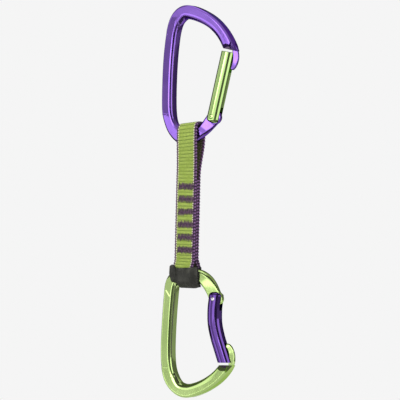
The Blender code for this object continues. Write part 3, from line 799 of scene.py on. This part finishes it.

# %% [markdown]
# ## Gate springs
# A small coil in each gate pushes a plunger against the tongue. It is hidden, and it shortens as the gate
# opens; here the coil is a plain tube along an even helix that stops just short of the closed end of its
# bore.

# %% Coils
SPRING_WIRE, SPRING_RADIUS, SPRING_TURN = 0.22, 1.3, 1.4
SPRING_START, PLUNGER_TRAVEL = 10.92, 2.25
SPRING_GAP = 0.52


def coil_grid(path, start, end, points_a_turn=24, sides=8):
    """Centre line p + (start + (end - start) t) a + R (cos(w t) o + sin(w t) y), with a tube round it."""
    pin, along, outward = (np.array((v[0], 0, v[1])) for v in gate_axes(path))
    turns = round((end - start) / SPRING_TURN)
    t = np.linspace(0, 1, turns * points_a_turn + 1)[:, None]
    w = 2 * np.pi * turns * t
    radial = np.cos(w) * outward + np.sin(w) * np.array((0, 1, 0))
    line = pin + (start + (end - start) * t) * along + SPRING_RADIUS * radial
    square = np.cross(unit(np.gradient(line, axis=0)), radial)
    turn = round_about(sides)[:, None]
    return line[:, None] + SPRING_WIRE * (np.cos(turn) * radial[:, None] + np.sin(turn) * square[:, None])


for label, path in GATE_PATHS.items():
    pin, along, _ = gate_axes(path)
    end = BORE_ENDS[label] - SPRING_GAP
    grid = coil_grid(path, SPRING_START, end)
    coil = put_grid(label + "_coil", grid, STEEL, label + "_gate", label + "_gate_spring", "spring_steel")
    closed = (pin + end * along) * MM
    label + "_plunger_slide"
    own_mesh(coil)

# %% [markdown]
# ## The tape
# The sling is one length of ribbed nylon tape with darker woven selvages. It runs down inside, round
# the lower loop, up the front, over the upper bar and down the back. Cloth simulation would only blur a
# tape this stiff, so the ribbon follows its path directly and the ribs are part of its thickness.

# %% The tape's path
TAPE_WIDTH, PLY, PLY_PITCH = 16.0, 2.3, 2.7
TAPE_CENTRE, TAPE_DRIFT, DRIFT_ENDS = 1.0, -1.3, (-112.0, -86.0)
UPPER_LOOP, UPPER_LOOP_UP, UPPER_TILT = 5.8, -79.6, 0.12
LOWER_LOOP, LOWER_LOOP_UP = 5.85, -180.3
UPPER_SPREAD, LOWER_SPREAD = (-110.0, -84.0), (-168.5, -177.5)
LAP_TOP, LAP_END, LAP_OUT = -113.0, (-167.5, -174.2), 3.0
SQUEEZE_AT, SQUEEZE_SPAN, SQUEEZE_NARROW, SQUEEZE_SHIFT = -183.0, 7.0, 2.9, 1.6
RIB_PITCH, RIB_DEPTH, RIB_POWER, RIB_LEVEL = 2.45, 0.16, 0.7, 0.6
SELVAGE_PITCH, SELVAGE_BEAD, SELVAGE_FROM, SELVAGE_FADE = 2.2, 0.2, 0.86, 0.1
TAPE_STEP, LEG_POINTS, ARC_POINTS, FACE_POINTS, BOW_POINTS = 0.35, 16, 36, 27, 9
LOOP_POWER = 0.7
LOOP_BEND = (-90.0, -112.0)


def leg(start, end, heights):
    """(through, up) points that ease from one depth to another: start + (end-start)(3t^2 - 2t^3)."""
    t = np.linspace(0, 1, LEG_POINTS)
    return np.stack([start + (end - start) * ease(t),
                     heights[0] + (heights[1] - heights[0]) * t], axis=1)


def arc(radius, up, first, last, power=1.0):
    """(through, up) points of a loop, by degrees from +Y; a power below 1 squares its shoulders."""
    turn = np.radians(np.linspace(first, last, ARC_POINTS))
    wide, tall = np.cos(turn), np.sin(turn)
    return np.stack([radius * np.sign(wide) * np.abs(wide) ** power,
                     up + radius * np.sign(tall) * np.abs(tall) ** power], axis=1)


def tape_path():
    """The tape's middle line at even steps, and the length run at each."""
    rough = np.vstack([
        [(0.0, LAP_TOP)],
        leg(0.0, LOWER_LOOP, LOWER_SPREAD),
        arc(LOWER_LOOP, LOWER_LOOP_UP, 0, -180),
        leg(-PLY_PITCH, -LOWER_LOOP, LOWER_SPREAD)[::-1],
        leg(-PLY_PITCH, -UPPER_LOOP, UPPER_SPREAD),
        arc(UPPER_LOOP, UPPER_LOOP_UP, 180, 0, LOOP_POWER),
        leg(PLY_PITCH, UPPER_LOOP, UPPER_SPREAD)[::-1],
        leg(PLY_PITCH, PLY_PITCH + LAP_OUT, LAP_END),
    ])
    run = np.concatenate([[0], np.cumsum(np.linalg.norm(np.diff(rough, axis=0), axis=1))])
    even = np.arange(0, run[-1], TAPE_STEP)
    return np.stack([np.interp(even, run, rough[:, k]) for k in (0, 1)], axis=1), even


def tape_grid():
    """Half thickness = ply/2 + ribs that fade to the selvage; the ends of the section are half rounds
    with a bead for each selvage stitch. The tape is squeezed narrower inside the keeper, and its upper
    loop sits a little further out and tilted, as the bar does."""
    line, run = tape_path()
    forward = unit(np.gradient(line, axis=0))
    square = left_of(forward)
    rib = RIB_DEPTH * (np.abs(np.sin(np.pi * run / RIB_PITCH)) ** RIB_POWER - RIB_LEVEL)
    squeeze = np.exp(-((line[:, 1] - SQUEEZE_AT) / SQUEEZE_SPAN) ** 4)
    half_wide = TAPE_WIDTH / 2 - SQUEEZE_NARROW * squeeze
    flat_part = np.linspace(-1, 1, FACE_POINTS)
    bow = np.linspace(np.pi / 2, -np.pi / 2, BOW_POINTS)[1:-1]
    reach = np.concatenate([flat_part, 0 * bow + 1, flat_part[::-1], 0 * bow - 1])
    round_out = np.concatenate([0 * flat_part, np.cos(bow), 0 * flat_part, -np.cos(bow)])
    rise = np.concatenate([0 * flat_part + 1, np.sin(bow), 0 * flat_part - 1, -np.sin(bow)])
    fade = 1 - np.clip((np.abs(reach) - SELVAGE_FROM) / SELVAGE_FADE, 0, 1)
    bead = 1 + SELVAGE_BEAD * np.cos(2 * np.pi * run / SELVAGE_PITCH)
    edge = PLY / 2
    across = reach * (half_wide - edge)[:, None] + round_out * (edge * bead)[:, None]
    thick = rise * (edge + rib[:, None] * fade)
    place = line[:, None] + square[:, None] * thick[..., None]
    high = np.clip((place[..., 1] - DRIFT_ENDS[0]) / (DRIFT_ENDS[1] - DRIFT_ENDS[0]), 0, 1)
    centre = TAPE_CENTRE + TAPE_DRIFT * (1 - ease(high)) + SQUEEZE_SHIFT * squeeze[:, None]
    points = np.stack([centre + across, place[..., 0],
                       place[..., 1] + UPPER_TILT * across * high], axis=-1)
    return points, across, run[:, None] + 0 * across, rise + 0 * across


# %% [markdown]
# ## The weave
# Nylon webbing is woven in ribs, with a stitched selvage on each side. A picture of it could be wrapped on,
# but the tape already knows how far along and across each point is, so the pattern is worked out from that.

# %% The tape's weave
PALE_LINE, SELVAGE_LINE, DASHES_A_RIB = (5.9, 6.1), (6.5, 6.7), 1.5


def woven(wire):
    """Green ribs with grooves painted darker as shade, a dashed pale line inside each selvage, purple
    selvages with a chain of stitches, and painted shade on the tape's inner face, inside the loops."""
    across = wire.node("ShaderNodeAttribute", {"attribute_name": "across"}, out=2)
    along = wire.node("ShaderNodeAttribute", {"attribute_name": "along"}, out=2)
    side = wire.math("ABSOLUTE", across)
    rib = wire.math("ABSOLUTE", wire.math("SINE", along * (math.pi / RIB_PITCH)))
    place = wire.node("ShaderNodeTexCoord", out=3)
    grain = wire.noise(place, 1500.0, 2.0)
    patch = wire.noise(place, 160.0, 2.0)
    # Painted shade: the grooves between the ribs are coloured darker green than the ribs.
    green = wire.mix(rib.step(0.1, 0.8), colour(112, 132, 52), colour(156, 177, 80))
    green = wire.mix(patch.step(0.4, 0.75), green, colour(140, 162, 64))
    rise = wire.node("ShaderNodeAttribute", {"attribute_name": "rise"}, out=2)
    chain = wire.math("SINE", along * (2 * math.pi / SELVAGE_PITCH) + 0.8 * wire.math("ABSOLUTE", rise))
    purple = wire.mix(chain.step(-0.2, 0.7), colour(54, 30, 66), colour(144, 102, 154))
    purple = wire.mix(rise.step(0.5, 0.9) * 0.7, purple, colour(52, 32, 54))
    dash = wire.math("SINE", along * (2 * math.pi / (RIB_PITCH / DASHES_A_RIB))).step(-0.3, 0.2)
    pale = wire.mix(dash, colour(110, 110, 84), colour(212, 204, 180))
    green = wire.mix(grain.step(0.35, 0.8) * 0.35, green, colour(80, 80, 60))
    cloth = wire.mix(side.step(*PALE_LINE), green, pale)
    cloth = wire.mix(side.step(*SELVAGE_LINE), cloth, purple)
    # Painted shade: the tape's inner face, inside the loops (rise below zero), is darkened towards dark
    # brown.
    cloth = wire.mix((rise * -1.0).step(0.5, 0.9) * 0.8, cloth, colour(58, 42, 40))
    bump = wire.node("ShaderNodeBump", Height=grain, Strength=0.3, Distance=0.0003)
    return {"Base_Color": cloth, "Normal": bump}


TAPE = material("ribbed_tape", woven, Roughness=0.85, Sheen_Weight=0.2, Specular_IOR_Level=0.15)
grid, across, along, rise = tape_grid()
loop_bend = {"a": "upper_carabiner", "b": "sling", "start": (0, 0, LOOP_BEND[0] * MM),
             "end": (0, 0, LOOP_BEND[1] * MM)}
tape = put_grid("woven_tape", grid, TAPE, loop_bend, "sling_tape", "tape", 60.0,
                across=across, along=along, rise=rise)
print("tape length", round(float(along.max()), 1), "mm")

# %% [markdown]
# ## Bar tacks
# Six dense blocks of zigzag stitching join the three plies. On the real sling a machine lays about
# twenty strokes to and fro along the tape, so each block is one thread that goes to and fro on the front
# face, and the same on the back.

# %% Zigzag threads
TACK_FIRST, TACK_PITCH, TACK_COUNT = -117.6, 8.88, 6
TACK_CENTRE, TACK_WIDTH, TACK_HALF = 0.3, 12.0, 2.5
THREAD_RADIUS, THREAD_PROUD = 0.32, 0.1
TACK_STROKES, STROKE_POINTS = 21, 10
STROKE_SPREAD, SIDE_SPREAD, TURN_DIP, DIP_POWER = (-0.6, 0.45), (-0.06, 0.06), 0.12, 6


def thread_grid(height, face, sides=8):
    """A tube along a zigzag: each stroke has its own length, and the turns dip into the tape."""
    turns = TACK_STROKES + 1
    up = np.where(np.arange(turns) % 2, 1, -1) * (TACK_HALF + rng.uniform(*STROKE_SPREAD, turns))
    across = np.linspace(-TACK_WIDTH / 2, TACK_WIDTH / 2, turns) + rng.uniform(*SIDE_SPREAD, turns)
    corners = np.stack([across, up], axis=1)
    t = np.linspace(0, 1, STROKE_POINTS, endpoint=False)[None, :, None]
    line = (corners[:-1, None] * (1 - t) + corners[1:, None] * t).reshape(-1, 2)
    dip = TURN_DIP * np.abs(line[:, 1] / TACK_HALF) ** DIP_POWER
    forward = unit(np.gradient(line, axis=0))
    side = left_of(forward)
    turn = round_about(sides)
    flat = line[:, None] + side[:, None] * (THREAD_RADIUS * np.cos(turn))[None, :, None]
    through = np.sign(face) * (abs(face) - dip[:, None]) + THREAD_RADIUS * np.sin(turn)
    return np.stack([TACK_CENTRE + flat[..., 0], through, height + flat[..., 1]], axis=-1)


def thread_look(wire):
    """Dark purple thread with paler fibres."""
    place = wire.node("ShaderNodeTexCoord", out=3)
    fibre = wire.noise(place, 900.0, 3.0)
    return {"Base_Color": wire.mix(fibre.step(0.35, 0.7), colour(50, 26, 50), colour(92, 58, 86))}


THREAD = material("tack_thread", thread_look, Roughness=0.7)
TACK_FACE = PLY_PITCH + PLY / 2 + THREAD_PROUD
for row in range(TACK_COUNT):
    height = TACK_FIRST - row * TACK_PITCH
    sheets = [thread_grid(height, side * TACK_FACE) for side in (-1, 1)]
    rows, columns = sheets[0].shape[:2]
    faces = grid_faces(rows, columns)
    faces += [[k + rows * columns for k in face] for face in faces]
    put(f"zigzag_tack_{row + 1}", np.concatenate(sheets), faces, THREAD, "sling",
        f"bar_tack_{row + 1}", "thread")

# %% [markdown]
# ## The keeper
# A moulded rubber trough grips the lower loop and keeps the carabiner the right way round in it. It is
# soft and creased: its left end is a rolled flange beside a deep fold, and its right rim is ragged.

# %% The rubber trough
KEEPER_WALL, KEEPER_TOP, KEEPER_INNER = 1.2, -174.6, 7.3
KEEPER_LEFT, KEEPER_RIGHT, KEEPER_TALL = -9.0, 11.8, 14.0
TAPER_FROM, TAPER_NARROW, TAPER_DRAW = 6.5, 0.4, 0.07
FLANGE_AT, FLANGE_LIFT, FLANGE_RAMP, FLANGE_DRAW = -6.5, 2.2, 1.4, 0.2
EAR_ROUND, EAR_WIDE, LIP_SLOPE, LIP_FADE, LIP_POINTS = 0.5, 2.5, 0.08, 1.4, 7
FOLD_AT, FOLD_DEEP, FOLD_WIDE, DEEPEST_FOLD = -3.8, 1.1, 0.6, 1.0
ROLL_OUT, ROLL_WIDE = 0.7, 1.5
# each crease's height, and its turn in radians for a millimetre along and for the whole way down
LONG_CREASE, CROSS_CREASE, CREASE_SHARE = (0.5, 0.9, 3.1), (0.45, 0.35, 11.0), 0.6
RAGGED_OUT, RAGGED_TURN, RAGGED_FROM, RAGGED_RAMP = 0.7, 3.4, 10.6, 1.2
KEEPER_BACK, BACK_RAMP = 3.0, 4.0
RIM_BEND = (5.0, 12.0)


def keeper_outline():
    """The U of the trough, once round its outer and inner walls with rounded lips, and where it is skin."""
    outer, inner = KEEPER_INNER + KEEPER_WALL, KEEPER_INNER
    lip_turn = np.linspace(0, np.pi, LIP_POINTS)[1:-1]
    half = KEEPER_WALL / 2
    lip = np.stack([outer - half + half * np.cos(lip_turn),
                    KEEPER_TOP - half + half * np.sin(lip_turn)], axis=1)
    wall = arc(outer, LOWER_LOOP_UP, 0, -180)
    inside = arc(inner, LOWER_LOOP_UP, -180, 0)
    skin = np.ones(2 * len(lip) + len(wall))
    outline = np.vstack([lip[::-1], wall, lip * (-1, 1), inside])
    return outline, np.concatenate([skin, 0 * inside[:, 0]])


def keeper_grid(steps=90):
    """Outline carried along X. The left end is a rolled flange that stands higher, a fold runs down beside
    it, slow waves crease the skin, and the right end draws in round the bar with a ragged rim. A point
    of the skin moves out by max(share * crease + roll - fold, -deepest fold)."""
    outline, skin = keeper_outline()
    x = np.linspace(KEEPER_LEFT, KEEPER_RIGHT, steps)[:, None]
    through, up = outline[None, :, 0] + 0 * x, outline[None, :, 1] + 0 * x
    flange = ease(np.clip((FOLD_AT - x) / FLANGE_RAMP, 0, 1))
    taper = ease(np.clip((x - TAPER_FROM) / (KEEPER_RIGHT - TAPER_FROM), 0, 1))
    low = np.clip((KEEPER_TOP - up) / KEEPER_TALL, 0, 1)
    up = KEEPER_TOP + (up - KEEPER_TOP) * (1 - FLANGE_DRAW * flange - TAPER_DRAW * taper)
    ear = FLANGE_LIFT * (1 - EAR_ROUND * ((x - FLANGE_AT) / EAR_WIDE) ** 2)
    up = up + (ear * flange + LIP_SLOPE * x * (1 - flange)) * (1 - low)
    below_lip = np.clip((KEEPER_TOP - up) / LIP_FADE, 0, 1)
    fold = FOLD_DEEP * np.exp(-((x - FOLD_AT) / FOLD_WIDE) ** 2) * skin * below_lip
    roll = ROLL_OUT * np.exp(-((x - FLANGE_AT) / ROLL_WIDE) ** 2)
    long, cross = (high * np.sin(a * x + b * low) for high, a, b in (LONG_CREASE, CROSS_CREASE))
    crease = (long * low + cross) * skin
    ragged = RAGGED_OUT * np.sin(up * RAGGED_TURN) * np.clip((x - RAGGED_FROM) / RAGGED_RAMP, 0, 1)
    skin_move = np.maximum(crease * CREASE_SHARE * below_lip + roll - fold, -DEEPEST_FOLD)
    scale = (1 + skin_move / KEEPER_INNER) * (1 - TAPER_NARROW * taper)
    shorter = KEEPER_BACK * taper * np.clip(through / BACK_RAMP, 0, 1)
    return np.stack([x + ragged - shorter, through * scale, up], axis=-1)


def rubber_look(wire):
    """Nearly black rubber with a dusty bloom in patches, rougher there, and a fine grain."""
    place = wire.node("ShaderNodeTexCoord", out=3)
    dust = wire.noise(place, 220.0, 4.0)
    speck = wire.noise(place, 1800.0, 2.0)
    tone = wire.mix(dust.step(0.4, 0.75), colour(36, 36, 30), colour(58, 58, 50))
    bump = wire.node("ShaderNodeBump", Height=speck, Strength=0.2, Distance=0.0002)
    return {"Base_Color": tone, "Roughness": 0.5 + 0.25 * dust, "Normal": bump}


RUBBER = material("keeper_rubber", rubber_look, Specular_IOR_Level=0.3)
grid = keeper_grid()
rim_bend = {"a": "sling", "b": "lower_carabiner", "start": (RIM_BEND[0] * MM, 0, 0),
            "end": (RIM_BEND[1] * MM, 0, 0)}
put_grid("soft_keeper", grid, RUBBER, rim_bend, "keeper", "rubber", 50.0)
